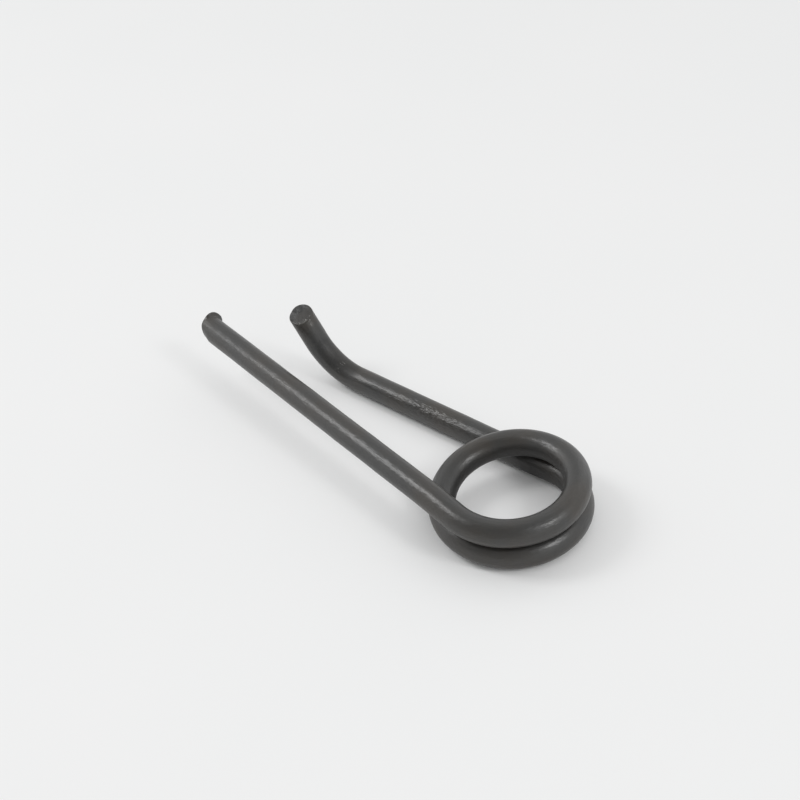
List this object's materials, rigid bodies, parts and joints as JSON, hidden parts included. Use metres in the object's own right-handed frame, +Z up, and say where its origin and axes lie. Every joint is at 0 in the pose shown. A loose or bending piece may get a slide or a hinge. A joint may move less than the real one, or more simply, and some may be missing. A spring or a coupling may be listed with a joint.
{
  "type": "spring clip",
  "caption": "Spring clip bent from round wire, with a close coil, a long straight leg and a shorter leg that turns up into a hook.",
  "frame": {"origin": "where the coil's axis meets the ground that the clip lies on", "axes": "+X from the straight leg's end towards the coil, +Y from the straight leg towards the hook leg, +Z up"},
  "size_m": [0.0557, 0.0182, 0.0088],
  "materials": {
    "coated_wire": "dark grey satin phosphate coating on drawn spring steel wire"
  },
  "bodies": {
    "root": {"spring_clip": "coated_wire"}
  },
  "joints": []
}
